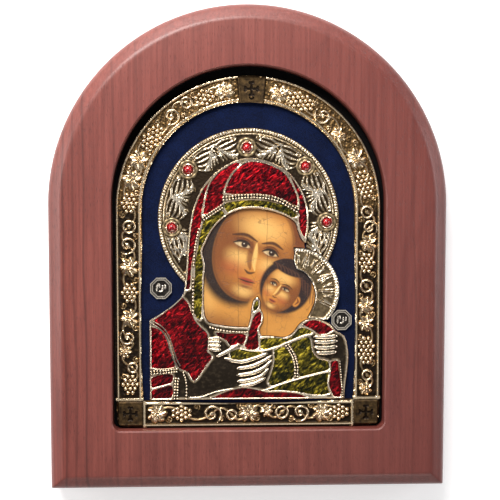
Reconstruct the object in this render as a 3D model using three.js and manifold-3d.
// Icon panel lying on its back: an arched wooden board whose recess holds a flocked card, a stamped
// gilt border with vine ornament, two halos, a robe cover with enamel fillings and a painted plate.
// Millimetres, +Z out of the face, +Y towards the arch.
import * as THREE from "three";
import { mergeVertices } from "three/addons/utils/BufferGeometryUtils.js";
import Module from "manifold-3d";

const wasm = await Module();
wasm.setup();

// Board
const BOARD_HALF_WIDTH = 100;
const BOARD_BOTTOM = -121.5;
const BOARD_SPRING_Y = 21.5;
const BOARD_THICKNESS = 24;
const BOARD_CORNER = 0.8;
// Moulded edge from the back to the face: distance in from the side, then height.
const EDGE_PROFILE = [
  [0.8, 0],
  [0, 0.8],
  [0, 17.4],
  [0.5, 19],
  [1.4, 20.3],
  [2.7, 21.2],
  [6.8, 24],
];
const OPENING_HALF_WIDTH = 68.5;
const OPENING_BOTTOM = -91.2;
const OPENING_SPRING_Y = 22.7;
const OPENING_CORNER = 4;
const OPENING_ARRIS = 0.7;
const RECESS_FLOOR = 13;
const ARCH_STEPS = 26;
const CORNER_STEPS = 3;

// Card under the metal
const CARD_CLEARANCE = 0.4;
const CARD_TOP = 16;

// Border stamping
const BORDER_HALF_WIDTH = 66.5;
const BORDER_BOTTOM = -90.2;
const BORDER_SPRING_Y = 19.9;
const BORDER_CORNER = 4;
const BAND = 13.3;
const BAND_FIELD = CARD_TOP + 1;
const BAND_RAIL = CARD_TOP + 2.3;
const OUTER_RAIL = 1.3;
const INNER_RAIL = 2.2;
const BLOCK_TOP = CARD_TOP + 2.6;
const BLOCK_SIDE = BAND - 0.6;
const KEYSTONE_U = 1.5;
const KEYSTONE_OUTER = 14.6;
const KEYSTONE_INNER = 12.2;
const KEYSTONE_LENGTH = 14.6;
const CROSS_SPAN = 7;
const CROSS_WIDTH = 1;
const CROSS_DEPTH = 0.5;

// Ornament
const STEM_WIDTH = 1.5;
const STEM_HEIGHT = 1.1;
const GRAPE_RADIUS = 1.25;
const GRAPE_HEIGHT = 1.6;
const GRAPE_SIDES = 5;
const GRAPE_PITCH = 2.7;
const LEAF_HEIGHT = 1.5;
const LEAF_LOBES = 6;

// Halos
const HALO_CENTRE = [0, 15];
const HALO_RADIUS = 45.5;
const HALO_INNER = 24;
const HALO_FIELD = CARD_TOP + 1.2;
const HALO_RIM = CARD_TOP + 2.4;
const HALO_RIM_WIDTH = 2.3;
const HALO_STEPS = 40;
const CHILD_HALO_CENTRE = [24.2, -21.3];
const CHILD_HALO_RADIUS = 21.6;
const CHILD_HALO_FIELD = CARD_TOP + 1.6;
const CHILD_HALO_RIM = CARD_TOP + 2.6;
const CHILD_HALO_START = 93;
const CHILD_HALO_END = -43;
const CHILD_HALO_STEPS = 16;
const STONE_RADIUS = 2.1;
const STONE_CUP = 3.1;
const CUP_SIDES = 8;
const STONE_TOP = CARD_TOP + 3.4;
const CUP_TOP = CARD_TOP + 2.3;

// Robe cover
const COVER_FLOOR = CARD_TOP + 1;
const RELIEF_BASE = 1.5;
const SEAM_HEIGHT = 0.45;
const HAND_HEIGHT = 0.9;
const BEAD_WIDTH = 2.6;
const BEAD_HEIGHT = 0.8;
const FINGER_WIDTH = 2.9;
const FINGER_HEIGHT = 1.9;
const GAP = 0.3;
const RELIEF_CELL = 18;
const PLATE_TOP = CARD_TOP + 0.9;

// Medallions
const MEDALLION_SIDES = 8;
const MEDALLION_TOP = CARD_TOP + 1.4;
const MEDALLION_RIM = 0.9;
const MEDALLION_SUNK = 0.4;

// Soft swellings of the figure: centre x, centre y, reach in x, reach in y, height.
const SWELLINGS = [
  [0, 31, 34, 20, 1.4],
  [29, -58, 19, 20, 1.1],
  [-40, -52, 15, 20, 0.9],
  [-8, -63, 24, 13, 0.9],
];

const HOOD_OUTER = [
  [29, 2.8], [30.2, 13], [29.5, 21.5], [27.4, 27.5], [24.4, 33], [20, 38.5], [14.4, 42], [8.3, 44.4],
  [1, 45.6], [-6.8, 44.1], [-13.3, 40.6], [-18.4, 36.6], [-23, 31], [-26, 25], [-28.4, 18], [-29.7, 10.4],
  [-30.5, 3], [-31, -5], [-31.7, -15], [-33, -23],
];
const SHOULDER_EDGE = [[-36.5, -27], [-42, -31.3], [-49.8, -36]];
const FIGURE_FOOT = [[-49.8, -76.6], [48.8, -76.6]];
const CHILD_EDGE = [
  [48.8, -45], [47, -43.3], [45, -42.4], [41.5, -38.7], [37.5, -36.5], [33, -35.6], [29, -36.5],
  [26, -38.5],
];
const NECKLINE = [[24.4, -40.5], [22.4, -43], [19, -45], [10.8, -44.5], [6, -44.5]];
const FLAP_EDGE = [
  [5.5, -40.5], [7, -37.5], [7, -33], [5.8, -30.5], [5.8, -27], [4.5, -24.6], [2.7, -26.4], [1.8, -30],
  [1.2, -35], [0, -40],
];
const COLLAR_TOP = [[-8.3, -39.6], [-15.4, -38.6], [-20.4, -37]];
const OPENING_EDGE = [
  [-22, -34.5], [-22.7, -29], [-22.5, -15], [-22, -8.3], [-23.2, -1], [-21.4, 3.3], [-18.9, 8.4],
  [-14.9, 13.4], [-10.3, 17.2], [-4.3, 19.7], [3.3, 20.3], [9.8, 19.4], [16.4, 17.4], [21.4, 14.9],
  [24, 12.3], [25, 8.9], [27, 4.3],
];
const HAIR_EDGE = [
  [30, -35.2], [32, -31.4], [33.5, -27.4], [33.8, -22.4], [32.5, -17.8], [30, -13.8], [27.4, -11.5],
  [24.4, -10.3], [23, -6.2], [23.3, -2.2],
];
// Loose loop around everything seen through the cover; its true edge is cut by the pieces around it.
const PLATE_FILL = [
  [-27, -42], [4, -48], [24, -47], [32, -36.5], [36, -22], [31, -10], [28.2, 1.5], [28.2, 4], [26, 16],
  [10, 23],
  [-6, 22], [-18, 15], [-25.5, 4], [-26.5, -20],
];
const RIGHT_HAND = [
  [-29.3, -67.7], [-27.4, -67], [-24.4, -62.6], [-21.4, -58.6], [-18, -55.1], [-13.3, -52.8], [-9.3, -50],
  [-6, -47.6], [-4.4, -48.2], [-9, -52.8], [-10.6, -56.4], [0, -56.5], [10.6, -53], [12.5, -55.5],
  [10.6, -63], [8, -67.8], [3, -69.8], [-10, -71.8], [-17, -73.6], [-23, -76.2], [-27, -75.6],
  [-29.8, -72.6],
];
const CHILD_HAND = [
  [-21, -43.5], [-17.4, -43], [-14, -44], [-10.6, -46.8], [-9, -49.4], [-13.4, -52.2], [-18, -54.4],
  [-20.8, -52.4],
];
const LEFT_HAND = [
  [45.1, -43.4], [38.5, -43.3], [34, -44.6], [31.6, -47], [32.4, -52], [36.2, -55.6], [41, -56.6],
  [48, -55.6],
  [48, -45],
];
const RED_CELLS = {
  veil_front: [
    [-11.8, 28.4], [-10.6, 31.8], [-8.2, 36.4], [-4.8, 40.3], [0, 42.6], [4.8, 42.6], [11.5, 40.8],
    [17.5, 37],
    [21.7, 31.2], [24.1, 25], [24.4, 21.8], [19.8, 25], [13.3, 27.5], [5.8, 28.8], [-1.8, 28.8],
  ],
  veil_side: [
    [-15.4, 37.6], [-12, 40.2], [-6.6, 43], [-4.4, 42.6], [-8.6, 38.4], [-11.8, 32.4], [-13, 28],
    [-13.9, 23.4],
    [-18.4, 20.4], [-22.8, 17.4], [-22, 22], [-21, 27.4], [-19, 33],
  ],
  veil_edge_left: [
    [-17.6, 36.2], [-22.2, 30.6], [-25.2, 24.8], [-27.6, 17.8], [-28.9, 10.3], [-29.7, 2.8], [-30.2, -5],
    [-30.9, -15], [-31.6, -20.6], [-30, -20], [-29.2, -8], [-28.4, -2], [-27.4, 3], [-25.6, 9],
    [-24.3, 15.5],
    [-23, 21.8], [-21.8, 27.4], [-20, 33],
  ],
  veil_edge_right: [
    [20.6, 37], [24, 32.2], [26.8, 27], [28.8, 21.2], [29.4, 13], [28.4, 5.6], [26.4, 10], [26.1, 20],
    [25.8, 25.5], [23.4, 31.6],
  ],
  shoulder_panel: [
    [-33.3, -24.6], [-31.8, -27.6], [-30.2, -32], [-28.2, -36.8], [-25, -40.6], [-22.2, -43.3], [-22, -53],
    [-19.6, -54.9], [-22.2, -58.2], [-25.2, -62.6], [-27.6, -65.8], [-30, -61.7], [-34.8, -59],
    [-36.7, -53.4],
    [-38.2, -47.8], [-40.3, -43], [-44.2, -39.2], [-48.2, -36.4], [-42, -32.1], [-36.8, -27.9],
  ],
  sleeve_upper: [
    [-49.1, -39.4], [-46, -41.4], [-43, -44.2], [-41.2, -48.3], [-39.7, -53.8], [-38, -59], [-49.1, -60],
  ],
  sleeve_middle: [[-49.1, -65.3], [-39.2, -64.4], [-39.2, -68], [-49.1, -70.6]],
  sleeve_lower: [[-49.1, -71.8], [-39.2, -69.1], [-39.2, -75.9], [-49.1, -75.9]],
  dress_front: [
    [-15.5, -43.2], [-11.5, -44], [-1, -44], [-1.8, -46.5], [-3.2, -48.6], [-5.2, -46.6], [-8.7, -48.2],
    [-10.8, -45.4],
  ],
  flap_red: [
    [5.5, -31.8], [6.3, -33.2], [6.2, -37.2], [4.7, -40.3], [4.7, -50.2], [0.4, -50.2], [-1.6, -49.4],
    [-0.2, -45],
    [0.9, -40], [2.5, -35.3],
  ],
  child_shoulder: [
    [27.6, -38.6], [29.5, -37.3], [33, -36.4], [37.2, -37.4], [40.6, -39.4], [42.8, -41.6], [36.2, -42.3],
    [32.8, -40.4],
  ],
  hem_side: [
    [42.3, -58.2], [44.6, -58.2], [45, -63], [46, -70.3], [46.8, -75.8], [44, -75.8], [42.2, -72.4],
    [41.4, -69.7],
    [42.2, -63.6],
  ],
  hem_low: [
    [-19, -75.9], [-14.5, -74.6], [-8, -72.9], [-2.8, -72], [6.8, -73.4], [18.4, -73.8], [25.7, -74.7],
    [30, -75.9],
  ],
};
const GREEN_CELLS = {
  lining_top: [
    [24, 16.6], [20.4, 19.2], [13, 22], [5, 23.3], [-4, 23.1], [-11.4, 22], [-10.5, 18.5], [-4.5, 20.9],
    [3.2, 21.4], [10, 20.6], [16.8, 18.5], [21.9, 15.8],
  ],
  lining_side: [
    [-14.4, 18.9], [-18, 15.9], [-21.9, 12.6], [-23.1, 9], [-24.4, 3], [-25.3, -2], [-25.9, -15],
    [-26, -33],
    [-24.6, -35], [-23.6, -29], [-23.4, -15], [-22.9, -8.5], [-24.1, -0.8], [-22.2, 3.7], [-19.6, 8.9],
    [-15.6, 14], [-12, 17],
  ],
  flap_green: [[4.4, -26.2], [5, -27.4], [4.8, -29.6], [2.6, -31.9], [2.5, -30], [3.4, -27.2]],
  robe_yoke: [
    [6.4, -45.6], [15.8, -45.4], [19.2, -45.9], [23, -43.7], [25.6, -40.4], [29, -41], [31.5, -42.5],
    [27.8, -43.6], [20.5, -46.3], [13, -49], [6.4, -50.5],
  ],
  robe_front: [
    [14, -52.4], [17.3, -50.6], [19.8, -53.6], [21.6, -58.8], [21.9, -65.6], [18, -67.2],
    [11.8, -69.4], [11, -68],
    [13, -63], [14.2, -57],
  ],
  robe_side: [
    [21.6, -48.6], [30, -45.7], [30.5, -48], [31.4, -53], [35.4, -57.2], [40.2, -58], [40.6, -61.4],
    [33.3, -63],
    [26.4, -64.8], [26.2, -58.4], [24.8, -53],
  ],
  robe_low: [
    [9.5, -72], [12, -71.6], [18.7, -69.2], [26.2, -66.9], [33.7, -65.1], [40.5, -63.5], [39.8, -70],
    [40.8, -73.6], [36, -73.7], [26, -72.6], [16, -71.7],
  ],
  cuff_green: [
    [-8.4, -53.2], [-4.3, -52], [0.6, -53.2], [6, -53.1], [2.8, -54.3], [-3.3, -55.5], [-8, -55.2],
  ],
};
// Beaded trims and plain folds on the cover: line, width.
const TRIMS = [
  [[[-12.6, 25.2], [-3.3, 26.3], [5.8, 26.4], [14.6, 24.7], [24.6, 19.2]], 3.2],
  [[[-13.6, 21.2], [-18.1, 18.2], [-22.6, 15.2]], BEAD_WIDTH],
  [[[-24.9, 9.9], [-26.3, 3.8], [-27.2, -2.2], [-27.6, -8.3]], 2],
  [[[-27.9, -15.5], [-28, -33]], 2],
  [[[-19.4, -39.8], [-14, -41.2], [-6, -42.2], [-0.6, -42.3]], 2],
  [[[-49.2, -62.6], [-43, -62.2], [-36.4, -61.4]], BEAD_WIDTH],
  [[[-36.2, -65.6], [-36.6, -70], [-36.8, -76]], BEAD_WIDTH],
  [[[-33, -62.6], [-31.6, -68], [-31.6, -76]], 1.8],
  [[[46.4, -57.4], [46.8, -63], [48, -75.8]], 1.4],
  [[[19.6, -49], [22.4, -53.8], [24, -58.6], [24.2, -65]], 2.6],
];
// Finger ridges of the three hands: line, width.
const FINGERS = [
  [[[-12.4, -55.4], [-4.3, -57.2], [3.3, -55.4], [9.8, -53]], FINGER_WIDTH],
  [[[-6, -60.6], [1.8, -59.4], [7.8, -56.8], [11.8, -54.2]], FINGER_WIDTH],
  [[[-6, -64], [2.3, -62.8], [7.8, -60.2], [11.8, -56.6]], FINGER_WIDTH],
  [[[-6, -67.2], [1.8, -66.2], [6.8, -64.2], [10, -60.8]], FINGER_WIDTH],
  [[[-5, -69.6], [2.3, -68.5], [8.6, -65.6]], 2.2],
  [[[-9.4, -51.4], [-7, -49.6], [-5.2, -48.2]], FINGER_WIDTH],
  [[[-14, -45], [-20.4, -44]], 2],
  [[[-14, -47], [-20.4, -46.6]], 2],
  [[[-14, -49], [-20.4, -49.4]], 2],
  [[[-14, -51], [-20, -52]], 2],
  [[[45, -44.6], [38.5, -44.4], [33, -46.2]], 2.4],
  [[[45, -47.2], [38.5, -47.2], [33, -49]], 2.4],
  [[[45, -50], [38.5, -50.2], [34, -52]], 2.4],
  [[[45, -52.8], [39, -53], [36, -54.2]], 2.4],
];
// Ornament along the arch and sides: kind, distance from the top, place across the band, size, turn.
const SIDE_ORNAMENT = [
  ["leaf", -12, 0, 4.4, 80], ["grapes", -22.4, 0, 3, 100], ["ring", -31.6, 1.6, 3.2, 0],
  ["scroll", -41.4, 0.4, 4, 200], ["grapes", -55.6, 0, 4, 90], ["leaf", -69, 0, 4.6, 90],
  ["leaf", -79.4, 0, 4.6, 90], ["grapes", -91, 0, 3, 90], ["ring", -102.8, 0, 3.6, 0],
  ["scroll", -111.8, 1, 4.3, 140], ["leaf", -123, 0, 4.4, 90], ["grapes", -136, 0, 3, 90],
  ["leaf", -149, 0, 4.2, 90], ["scroll", -158.6, 1, 3.8, 30], ["leaf", -166, 2.4, 3, 60],
  ["ring", -174, -1.2, 2.8, 0], ["grapes", -182.6, 0, 3, 90],
  ["leaf", 15.6, 0, 4.4, -80], ["grapes", 27, 0, 4, -100], ["scroll", 40.4, 0, 4.2, 160],
  ["leaf", 53, -1.4, 3.6, -90], ["leaf", 68, 0, 4.8, -90], ["grapes", 81.6, 0, 4, -90],
  ["ring", 95.6, 0, 3.4, 0], ["scroll", 103.4, 1.4, 3.6, 40], ["leaf", 111.4, 1, 4, -90],
  ["grapes", 121.4, 0, 3, -90], ["ring", 133, 0, 3.6, 0], ["leaf", 143, 0, 4, -90],
  ["leaf", 152, 0, 3.8, -90], ["grapes", 166, 0, 4, -90], ["ring", 178.6, 0.6, 2.9, 0],
  ["leaf", 185.4, 0, 3.2, -90],
];
// Ornament along the foot: kind, x, place across the band, size, turn.
const FOOT_ORNAMENT = [
  ["leaf", -46.6, 0, 4.6, 0], ["grapes", -34, 0, 3, 180], ["scroll", -18.6, -0.6, 4.6, 300],
  ["ring", -8.6, -1, 2.8, 0],
  ["leaf", 0, 0, 4.6, 90], ["leaf", 9, 1, 3, 40], ["ring", 17, 0, 3.6, 0], ["scroll", 26.4, 0, 4.4, 220],
  ["leaf", 37, 0, 4.4, 0], ["grapes", 46, 0, 3, 180],
];
const STONES = [[-0.9, 50.8], [-30.2, 39.7], [28.6, 41.3], [-38.5, 10.8], [39.3, 13.3]];
// Scrolls on the large halo: angle from +X, distance from its centre, size, turn.
const HALO_SCROLLS = [
  [18, 36.6, 3, 0], [35, 37, 3.2, 90], [68, 37, 3.3, 200], [110, 37, 3.3, 340], [150, 37, 3.2, 90],
  [166, 36.6, 3, 180], [204, 37.4, 2.8, 260],
];
const CHILD_HALO_BARS = [72, 48, 24, 0, -24];
const MEDALLIONS = { medallion_left: [-44.1, -19.8, 5.8], medallion_right: [47.2, -36.4, 5.5] };

// Helpers that turn three.js geometry into solids and back
function solidOf(geometry) {
  const bare = new THREE.BufferGeometry();
  bare.setAttribute("position", geometry.getAttribute("position"));
  bare.setIndex(geometry.getIndex());
  const merged = mergeVertices(bare, 1e-4);
  const mesh = new wasm.Mesh({
    numProp: 3,
    vertProperties: merged.getAttribute("position").array,
    triVerts: new Uint32Array(merged.getIndex().array),
  });
  return new wasm.Manifold(mesh);
}

function geometryOf(solid) {
  const mesh = solid.getMesh();
  const geometry = new THREE.BufferGeometry();
  geometry.setAttribute("position", new THREE.BufferAttribute(mesh.vertProperties, 3));
  geometry.setIndex(new THREE.BufferAttribute(mesh.triVerts, 1));
  geometry.computeVertexNormals();
  return geometry;
}

function largestBody(solid) {
  return solid.decompose().reduce((best, body) => (body.volume() > best.volume() ? body : best));
}

function union(solids) {
  return wasm.Manifold.union(solids);
}

function vectors(points) {
  return points.map(([x, y]) => new THREE.Vector2(x, y));
}

// Outline moved out by a distance along its corner normals; a negative distance moves it in.
function grown(points, distance) {
  const outline = vectors(points);
  const side = Math.sign(THREE.ShapeUtils.area(outline));
  return outline.map((point, index) => {
    const before = outline[(index + outline.length - 1) % outline.length];
    const after = outline[(index + 1) % outline.length];
    const first = point.clone().sub(before).normalize();
    const second = after.clone().sub(point).normalize();
    const normal = new THREE.Vector2(first.y + second.y, -first.x - second.x).normalize();
    const widen = 1 / Math.max(0.6, Math.sqrt((1 + first.dot(second)) / 2));
    return [point.x + normal.x * side * distance * widen, point.y + normal.y * side * distance * widen];
  });
}

function prism(points, low, high) {
  const shape = new THREE.Shape(vectors(points));
  const geometry = new THREE.ExtrudeGeometry(shape, { depth: high - low, bevelEnabled: false });
  geometry.translate(0, 0, low);
  return solidOf(geometry);
}

// Skin over rings of equal point count; closed rings of rings have no caps.
function loft(rings, closed) {
  const count = rings[0].length;
  const positions = rings.flat().flatMap((p) => [p.x, p.y, p.z]);
  const index = [];
  const spans = closed ? rings.length : rings.length - 1;
  for (let k = 0; k < spans; k += 1) {
    const low = k * count;
    const high = ((k + 1) % rings.length) * count;
    for (let i = 0; i < count; i += 1) {
      const j = (i + 1) % count;
      index.push(low + i, low + j, high + j, low + i, high + j, high + i);
    }
  }
  if (!closed) {
    const last = (rings.length - 1) * count;
    const flat = (ring) => {
      const [a, b] = [ring[0], ring[1]];
      const across = b.clone().sub(a).normalize();
      const normal = across.clone().cross(ring[count - 1].clone().sub(a)).normalize();
      const up = normal.clone().cross(across);
      return ring.map((p) => new THREE.Vector2(p.clone().sub(a).dot(across), p.clone().sub(a).dot(up)));
    };
    THREE.ShapeUtils.triangulateShape(flat(rings[0]), []).forEach(([a, b, c]) => index.push(a, c, b));
    const top = THREE.ShapeUtils.triangulateShape(flat(rings[rings.length - 1]), []);
    top.forEach(([a, b, c]) => index.push(last + a, last + b, last + c));
  }
  const geometry = new THREE.BufferGeometry();
  geometry.setAttribute("position", new THREE.BufferAttribute(new Float32Array(positions), 3));
  geometry.setIndex(index);
  return geometry;
}

// One arched loop: flat foot with rounded corners, straight sides and a half-round top.
function archRing(halfWidth, bottom, springY, corner, z) {
  const ring = [];
  for (const side of [-1, 1]) {
    for (let i = 0; i <= CORNER_STEPS; i += 1) {
      const turn = (Math.PI / 2) * (i / CORNER_STEPS);
      const angle = side < 0 ? Math.PI + turn : -Math.PI / 2 + turn;
      const x = side * (halfWidth - corner) + corner * Math.cos(angle);
      const y = bottom + corner + corner * Math.sin(angle);
      ring.push(new THREE.Vector3(x, y, z));
    }
  }
  for (let i = 0; i <= ARCH_STEPS; i += 1) {
    const angle = (Math.PI * i) / ARCH_STEPS;
    ring.push(new THREE.Vector3(halfWidth * Math.cos(angle), springY + halfWidth * Math.sin(angle), z));
  }
  return ring;
}

function boardRing(inset, z) {
  return archRing(BOARD_HALF_WIDTH - inset, BOARD_BOTTOM + inset, BOARD_SPRING_Y, BOARD_CORNER, z);
}

function openingRing(inset, z) {
  const corner = OPENING_CORNER - inset;
  return archRing(OPENING_HALF_WIDTH - inset, OPENING_BOTTOM + inset, OPENING_SPRING_Y, corner, z);
}

function borderRing(inset, z) {
  const corner = Math.max(BORDER_CORNER - inset, 0.4);
  return archRing(BORDER_HALF_WIDTH - inset, BORDER_BOTTOM + inset, BORDER_SPRING_Y, corner, z);
}

// A low sharp ridge along a line on the ground; both ends taper.
const RIDGE_SECTION = [[-1, 0], [1, 0], [0, 1]];

function ridge(points, width, low, height, steps) {
  const curve = new THREE.SplineCurve(vectors(points));
  const rings = [];
  for (let i = 0; i <= steps; i += 1) {
    const at = curve.getPoint(i / steps);
    const along = curve.getTangent(i / steps);
    const end = i === 0 || i === steps ? 0.55 : 1;
    const half = (width / 2) * end;
    const ring = RIDGE_SECTION.map(([across, up]) => {
      const x = at.x - along.y * half * across;
      const y = at.y + along.x * half * across;
      return new THREE.Vector3(x, y, low + height * end * up);
    });
    rings.push(ring);
  }
  return solidOf(loft(rings, false));
}

// Curling stem that winds in from its tail; the turn is in degrees.
function scrollPoints(size, turn) {
  const points = [];
  for (let i = 0; i <= 9; i += 1) {
    const share = i / 9;
    const angle = (turn * Math.PI) / 180 + share * Math.PI * 2.6;
    const radius = size * (1 - 0.74 * share);
    points.push([radius * Math.cos(angle), radius * Math.sin(angle)]);
  }
  return points;
}

function ringPoints(size) {
  const points = [];
  for (let i = 0; i <= 10; i += 1) {
    const angle = (Math.PI * 1.9 * i) / 10;
    points.push([size * 0.72 * Math.cos(angle), size * 0.72 * Math.sin(angle)]);
  }
  return points;
}

// Lobed leaf as a low pyramid with its stalk at the back.
function leafAt(size, turn, low) {
  const sides = LEAF_LOBES * 2;
  const geometry = new THREE.ConeGeometry(size, LEAF_HEIGHT, sides, 1);
  geometry.rotateX(Math.PI / 2);
  const position = geometry.getAttribute("position");
  for (let i = 0; i < position.count; i += 1) {
    const x = position.getX(i);
    const y = position.getY(i);
    const step = Math.round((Math.atan2(y, x) * sides) / (Math.PI * 2));
    const lobe = step % 2 === 0 ? 1 : 0.66;
    position.setXY(i, x * lobe, y * lobe);
  }
  geometry.rotateZ((turn * Math.PI) / 180);
  geometry.translate(0, 0, low + LEAF_HEIGHT / 2);
  return geometry;
}

// Bunch of grapes that narrows to its tip: rows of three, two and one, as many as the size asks for.
function grapePlaces(rows) {
  const places = [];
  for (let row = 0; row < rows; row += 1) {
    const across = Math.min(3, rows - row + (row % 2));
    for (let i = 0; i < across; i += 1) {
      places.push([(row - (rows - 1) / 2) * GRAPE_PITCH * 0.86, (i - (across - 1) / 2) * GRAPE_PITCH]);
    }
  }
  return places;
}

function grapeAt(low) {
  const geometry = new THREE.ConeGeometry(GRAPE_RADIUS, GRAPE_HEIGHT, GRAPE_SIDES);
  geometry.rotateX(Math.PI / 2);
  geometry.translate(0, 0, low + GRAPE_HEIGHT / 2 - 0.2);
  return geometry;
}

// Point on the band from the distance along it and the place across it.
function onBand(u, v) {
  const middle = BORDER_HALF_WIDTH - BAND / 2;
  const quarter = (middle * Math.PI) / 2;
  if (Math.abs(u) < quarter) {
    const angle = u / middle;
    const away = middle + v;
    return { x: away * Math.sin(angle), y: BORDER_SPRING_Y + away * Math.cos(angle), turn: -angle };
  }
  const side = Math.sign(u);
  const y = BORDER_SPRING_Y - (Math.abs(u) - quarter);
  return { x: side * (middle + v), y, turn: (-side * Math.PI) / 2 };
}

function onFoot(u, v) {
  return { x: u, y: BORDER_BOTTOM + BAND / 2 + v, turn: 0 };
}

function ornament([kind, u, v, size, turn], place, low) {
  const at = place(u, v);
  const settle = (x, y) => {
    const c = Math.cos(at.turn);
    const s = Math.sin(at.turn);
    return [at.x + x * c - y * s, at.y + x * s + y * c];
  };
  if (kind === "grapes") {
    const lean = Math.cos((turn * Math.PI) / 180) < -0.5 || turn === 90 || turn === 100 ? -1 : 1;
    return grapePlaces(size).map(([x, y]) => {
      const [px, py] = settle(x * lean, y);
      const geometry = grapeAt(low);
      geometry.translate(px, py, 0);
      return solidOf(geometry);
    });
  }
  if (kind === "leaf") {
    const geometry = leafAt(size, turn + (at.turn * 180) / Math.PI, low - 0.2);
    geometry.translate(at.x, at.y, 0);
    return [solidOf(geometry)];
  }
  const line = kind === "ring" ? ringPoints(size) : scrollPoints(size, turn);
  return [ridge(line.map(([x, y]) => settle(x, y)), STEM_WIDTH, low - 0.2, STEM_HEIGHT + 0.2, 7)];
}

// Height of the figure's surface above the card
function relief(x, y) {
  return SWELLINGS.reduce((sum, [cx, cy, rx, ry, height]) => {
    const away = ((x - cx) / rx) ** 2 + ((y - cy) / ry) ** 2;
    return sum + (away < 1 ? height * (1 - away) ** 2 : 0);
  }, RELIEF_BASE);
}

function reliefBlock(lift) {
  const width = 108;
  const height = 130;
  const middleY = -15;
  const across = Math.round(width / RELIEF_CELL);
  const up = Math.round(height / RELIEF_CELL);
  const geometry = new THREE.BoxGeometry(width, height, 1, across, up, 1);
  const position = geometry.getAttribute("position");
  for (let i = 0; i < position.count; i += 1) {
    const x = position.getX(i);
    const y = position.getY(i) + middleY;
    const z = position.getZ(i) > 0 ? CARD_TOP + relief(x, y) + lift : CARD_TOP;
    position.setXYZ(i, x, y, z);
  }
  return solidOf(geometry);
}

const CEILING = CARD_TOP + 8;
const COVER_OUTLINE = [
  ...HOOD_OUTER, ...SHOULDER_EDGE, ...FIGURE_FOOT, ...CHILD_EDGE, ...NECKLINE, ...FLAP_EDGE, ...COLLAR_TOP,
  ...OPENING_EDGE,
];
const FIGURE_FILL = [...HOOD_OUTER, ...SHOULDER_EDGE, ...FIGURE_FOOT, ...CHILD_EDGE];

function discPoints([cx, cy], radius, steps) {
  const points = [];
  for (let i = 0; i < steps; i += 1) {
    const angle = (Math.PI * 2 * i) / steps;
    points.push([cx + radius * Math.cos(angle), cy + radius * Math.sin(angle)]);
  }
  return points;
}

function arcPoints([cx, cy], radius, from, to, steps) {
  const points = [];
  for (let i = 0; i <= steps; i += 1) {
    const angle = ((from + ((to - from) * i) / steps) * Math.PI) / 180;
    points.push([cx + radius * Math.cos(angle), cy + radius * Math.sin(angle)]);
  }
  return points;
}

function polar([cx, cy], degrees, radius) {
  const angle = (degrees * Math.PI) / 180;
  return [cx + radius * Math.cos(angle), cy + radius * Math.sin(angle)];
}

// Pieces
function makeBoard() {
  const rings = EDGE_PROFILE.map(([inset, z]) => boardRing(inset, z));
  rings.push(openingRing(-OPENING_ARRIS, BOARD_THICKNESS));
  rings.push(openingRing(0, BOARD_THICKNESS - OPENING_ARRIS));
  rings.push(openingRing(0, RECESS_FLOOR));
  return solidOf(loft(rings, false));
}

function makeCard() {
  const rings = [RECESS_FLOOR, CARD_TOP].map((z) => openingRing(CARD_CLEARANCE, z));
  return solidOf(loft(rings, false));
}

function makeBorder() {
  const rings = [
    borderRing(0, CARD_TOP),
    borderRing(0, BAND_RAIL),
    borderRing(OUTER_RAIL, BAND_RAIL),
    borderRing(OUTER_RAIL + 0.4, BAND_FIELD),
    borderRing(BAND - INNER_RAIL - 0.4, BAND_FIELD),
    borderRing(BAND - INNER_RAIL, BAND_RAIL),
    borderRing(BAND, BAND_RAIL),
    borderRing(BAND, CARD_TOP),
  ];
  const solids = [solidOf(loft(rings, true))];
  SIDE_ORNAMENT.forEach((row) => solids.push(...ornament(row, onBand, BAND_FIELD)));
  FOOT_ORNAMENT.forEach((row) => solids.push(...ornament(row, onFoot, BAND_FIELD)));
  const top = BORDER_SPRING_Y + BORDER_HALF_WIDTH;
  const keystone = [
    [KEYSTONE_U - KEYSTONE_OUTER / 2, top - 0.6],
    [KEYSTONE_U + KEYSTONE_OUTER / 2, top - 0.6],
    [KEYSTONE_U + KEYSTONE_INNER / 2, top - KEYSTONE_LENGTH],
    [KEYSTONE_U - KEYSTONE_INNER / 2, top - KEYSTONE_LENGTH],
  ];
  const blocks = [[keystone, KEYSTONE_U, top - BAND / 2]];
  for (const side of [-1, 1]) {
    const x = side * (BORDER_HALF_WIDTH - BAND / 2);
    const y = BORDER_BOTTOM + BAND / 2;
    const half = BLOCK_SIDE / 2;
    const corners = [[-half, -half], [half, -half], [half, half], [-half, half]];
    blocks.push([corners.map(([dx, dy]) => [x + dx, y + dy]), x, y]);
  }
  blocks.forEach(([outline]) => solids.push(prism(outline, CARD_TOP, BLOCK_TOP)));
  const cuts = blocks.flatMap(([, x, y]) => {
    const long = new THREE.BoxGeometry(CROSS_SPAN, CROSS_WIDTH, CROSS_DEPTH * 2);
    const tall = new THREE.BoxGeometry(CROSS_WIDTH, CROSS_SPAN, CROSS_DEPTH * 2);
    return [long, tall].map((bar) => solidOf(bar.translate(x, y, BLOCK_TOP)));
  });
  return union(solids).subtract(union(cuts));
}

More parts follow.
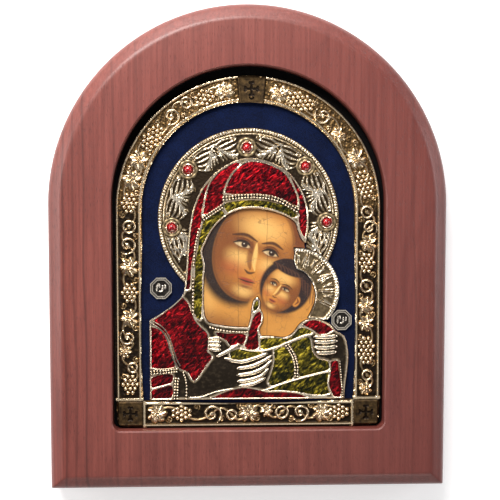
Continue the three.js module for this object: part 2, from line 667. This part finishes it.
function makeHalo() {
  const profile = [
    [HALO_INNER, CARD_TOP],
    [HALO_RADIUS, CARD_TOP],
    [HALO_RADIUS, HALO_RIM - 0.8],
    [HALO_RADIUS - HALO_RIM_WIDTH / 2, HALO_RIM],
    [HALO_RADIUS - HALO_RIM_WIDTH, HALO_FIELD],
    [HALO_INNER, HALO_FIELD],
    [HALO_INNER, CARD_TOP],
  ];
  const ring = new THREE.LatheGeometry(vectors(profile), HALO_STEPS);
  ring.rotateX(Math.PI / 2);
  ring.translate(HALO_CENTRE[0], HALO_CENTRE[1], 0);
  const solids = [solidOf(ring)];
  HALO_SCROLLS.forEach(([degrees, away, size, turn]) => {
    const [x, y] = polar(HALO_CENTRE, degrees, away);
    const line = scrollPoints(size, turn).map(([px, py]) => [x + px, y + py]);
    solids.push(ridge(line, STEM_WIDTH, HALO_FIELD - 0.2, STEM_HEIGHT, 7));
  });
  const cups = STONES.map((centre) => {
    solids.push(prism(discPoints(centre, STONE_CUP, CUP_SIDES), CARD_TOP, CUP_TOP));
    return prism(discPoints(centre, STONE_RADIUS + GAP, CUP_SIDES), HALO_FIELD, CEILING);
  });
  const clearDisc = discPoints(CHILD_HALO_CENTRE, CHILD_HALO_RADIUS + GAP, CHILD_HALO_STEPS * 2);
  const childDisc = prism(clearDisc, CARD_TOP - 1, CEILING);
  const figure = prism(grown(FIGURE_FILL, GAP), CARD_TOP - 1, CEILING);
  return largestBody(union(solids).subtract(union([figure, childDisc, ...cups])));
}

function makeChildHalo() {
  const arc = arcPoints(CHILD_HALO_CENTRE, CHILD_HALO_RADIUS, CHILD_HALO_START, CHILD_HALO_END, CHILD_HALO_STEPS);
  const plate = prism([...arc, ...HAIR_EDGE], CARD_TOP, CHILD_HALO_FIELD);
  const rimFrom = CHILD_HALO_START - 2;
  const rimTo = CHILD_HALO_END + 2;
  const rimLine = arcPoints(CHILD_HALO_CENTRE, CHILD_HALO_RADIUS - 1, rimFrom, rimTo, 12);
  const rimHeight = CHILD_HALO_RIM - CHILD_HALO_FIELD + 0.2;
  const solids = [plate, ridge(rimLine, 2, CHILD_HALO_FIELD - 0.2, rimHeight, 12)];
  solids.push(ridge(HAIR_EDGE, 1.1, CHILD_HALO_FIELD - 0.4, 1, 10));
  CHILD_HALO_BARS.forEach((degrees) => {
    const from = polar(CHILD_HALO_CENTRE, degrees, 12.6);
    const to = polar(CHILD_HALO_CENTRE, degrees, CHILD_HALO_RADIUS - 2);
    const middle = [(from[0] + to[0]) / 2, (from[1] + to[1]) / 2];
    solids.push(ridge([from, middle, to], 0.9, CHILD_HALO_FIELD - 0.2, 0.7, 2));
  });
  const outline = prism(grown([...arc, ...HAIR_EDGE], -0.02), CARD_TOP, CEILING);
  const figure = prism(grown(COVER_OUTLINE, GAP), CARD_TOP - 1, CEILING);
  return largestBody(union(solids).intersect(outline).subtract(figure));
}

function makeStone([x, y]) {
  const profile = [
    [0, HALO_FIELD],
    [STONE_RADIUS, HALO_FIELD],
    [STONE_RADIUS, CUP_TOP + 0.2],
    [STONE_RADIUS * 0.72, STONE_TOP - 0.25],
    [0, STONE_TOP],
  ];
  const geometry = new THREE.LatheGeometry(vectors(profile), CUP_SIDES);
  geometry.rotateX(Math.PI / 2);
  geometry.translate(x, y, 0);
  return solidOf(geometry);
}

const ENAMEL_CELLS = { ...RED_CELLS, ...GREEN_CELLS };

function makeCover() {
  const body = prism(COVER_OUTLINE, CARD_TOP, CEILING).intersect(reliefBlock(SEAM_HEIGHT));
  const handBlock = reliefBlock(HAND_HEIGHT);
  const solids = [body];
  [RIGHT_HAND, CHILD_HAND, LEFT_HAND].forEach((outline) => {
    solids.push(prism(outline, CARD_TOP, CEILING).intersect(handBlock));
  });
  const top = (points) => {
    const middle = points[Math.floor(points.length / 2)];
    return CARD_TOP + relief(middle[0], middle[1]);
  };
  TRIMS.forEach(([line, width]) => {
    solids.push(ridge(line, width, COVER_FLOOR, top(line) - COVER_FLOOR + BEAD_HEIGHT, line.length - 1));
  });
  FINGERS.forEach(([line, width]) => {
    solids.push(ridge(line, width, COVER_FLOOR, top(line) - COVER_FLOOR + FINGER_HEIGHT, line.length - 1));
  });
  const outlines = Object.values(ENAMEL_CELLS);
  const pockets = outlines.map((outline) => prism(grown(outline, GAP), COVER_FLOOR, CEILING));
  const inside = prism(COVER_OUTLINE, CARD_TOP, CEILING);
  return largestBody(union(solids).subtract(union(pockets)).intersect(inside));
}

function makePlate() {
  const opening = prism(PLATE_FILL, CARD_TOP, PLATE_TOP);
  const around = prism(grown(COVER_OUTLINE, GAP + 0.05), CARD_TOP - 1, CEILING);
  const arc = arcPoints(CHILD_HALO_CENTRE, CHILD_HALO_RADIUS, CHILD_HALO_START, CHILD_HALO_END, CHILD_HALO_STEPS);
  const halo = prism(grown([...arc, ...HAIR_EDGE], GAP + 0.05), CARD_TOP - 1, CEILING);
  return largestBody(opening.subtract(around).subtract(halo));
}

function octagon(x, y, radius, middle, height) {
  const geometry = new THREE.CylinderGeometry(radius, radius, height, MEDALLION_SIDES);
  geometry.rotateX(Math.PI / 2);
  geometry.rotateZ(Math.PI / MEDALLION_SIDES);
  geometry.translate(x, y, middle);
  return solidOf(geometry);
}

function makeMedallion([x, y, radius]) {
  const outer = octagon(x, y, radius, (MEDALLION_TOP + CARD_TOP) / 2, MEDALLION_TOP - CARD_TOP);
  return outer.subtract(octagon(x, y, radius - MEDALLION_RIM, MEDALLION_TOP, MEDALLION_SUNK * 2));
}

const group = new THREE.Group();

function add(name, solid, colour, roughness, metalness) {
  const material = new THREE.MeshStandardMaterial({ color: colour, roughness, metalness });
  const mesh = new THREE.Mesh(geometryOf(solid), material);
  mesh.name = name;
  group.add(mesh);
}

add("wood_board", makeBoard(), 0x8f4a3f, 0.45, 0);
add("velvet_ground", makeCard(), 0x1b2a5a, 0.95, 0);
add("border_frame", makeBorder(), 0xb59a6a, 0.35, 1);
add("mother_halo", makeHalo(), 0xcab79a, 0.3, 1);
add("child_halo", makeChildHalo(), 0xcab79a, 0.3, 1);
add("robe_cover", makeCover(), 0xb59a6a, 0.35, 1);
add("painted_plate", makePlate(), 0xa8784a, 0.5, 0);
for (const [name, outline] of Object.entries(ENAMEL_CELLS)) {
  const filling = prism(outline, COVER_FLOOR, CEILING).intersect(reliefBlock(0));
  add(name, filling, name in RED_CELLS ? 0xa01226 : 0x7c7a22, 0.15, 0);
}
STONES.forEach((centre, index) => add(`stone_${index + 1}`, makeStone(centre), 0xb0101e, 0.1, 0));
for (const [name, place] of Object.entries(MEDALLIONS)) {
  add(name, makeMedallion(place), 0xb59a6a, 0.35, 1);
}

export default group;
